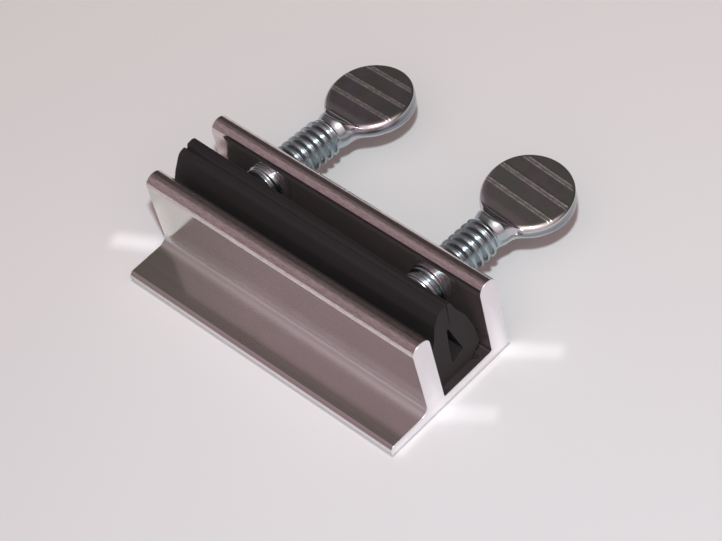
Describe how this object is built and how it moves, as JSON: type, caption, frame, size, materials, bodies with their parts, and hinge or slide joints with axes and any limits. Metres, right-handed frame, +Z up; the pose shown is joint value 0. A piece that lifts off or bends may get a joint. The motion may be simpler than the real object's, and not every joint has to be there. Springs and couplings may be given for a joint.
{
  "type": "window latch",
  "caption": "Clamp-on window latch: an aluminium channel with a ledge, a folded rubber liner in the channel and thumb screws through its back wall.",
  "frame": {"origin": "centre of the flat underside of the base", "axes": "+X along the extrusion, +Y from the front ledge towards the thumb screws, +Z up out of the channel"},
  "size_m": [0.054, 0.0486, 0.0156],
  "materials": {
    "mill_aluminium": "bright extruded, saw-cut ends",
    "black_rubber": "matt moulded, knife-cut ends",
    "bright_zinc": "bright zinc plate over steel"
  },
  "bodies": {
    "clamp_body": {"channel_extrusion": "mill_aluminium", "rubber_liner": "black_rubber"},
    "left_screw": {"thumb_screw_left": "bright_zinc"},
    "right_screw": {"thumb_screw_right": "bright_zinc"}
  },
  "joints": [
    {"name": "left_screw_turn", "type": "hinge", "parent": "clamp_body", "child": "left_screw", "pos_m": [-0.0164, 0.01057, 0.0089], "axis": [0.0314, 0.9978, -0.0576], "range_deg": [0, 1100]},
    {"name": "right_screw_turn", "type": "hinge", "parent": "clamp_body", "child": "right_screw", "pos_m": [0.0164, 0.01057, 0.0089], "axis": [0.0314, 0.9993, -0.0192], "range_deg": [0, 1369]}
  ]
}
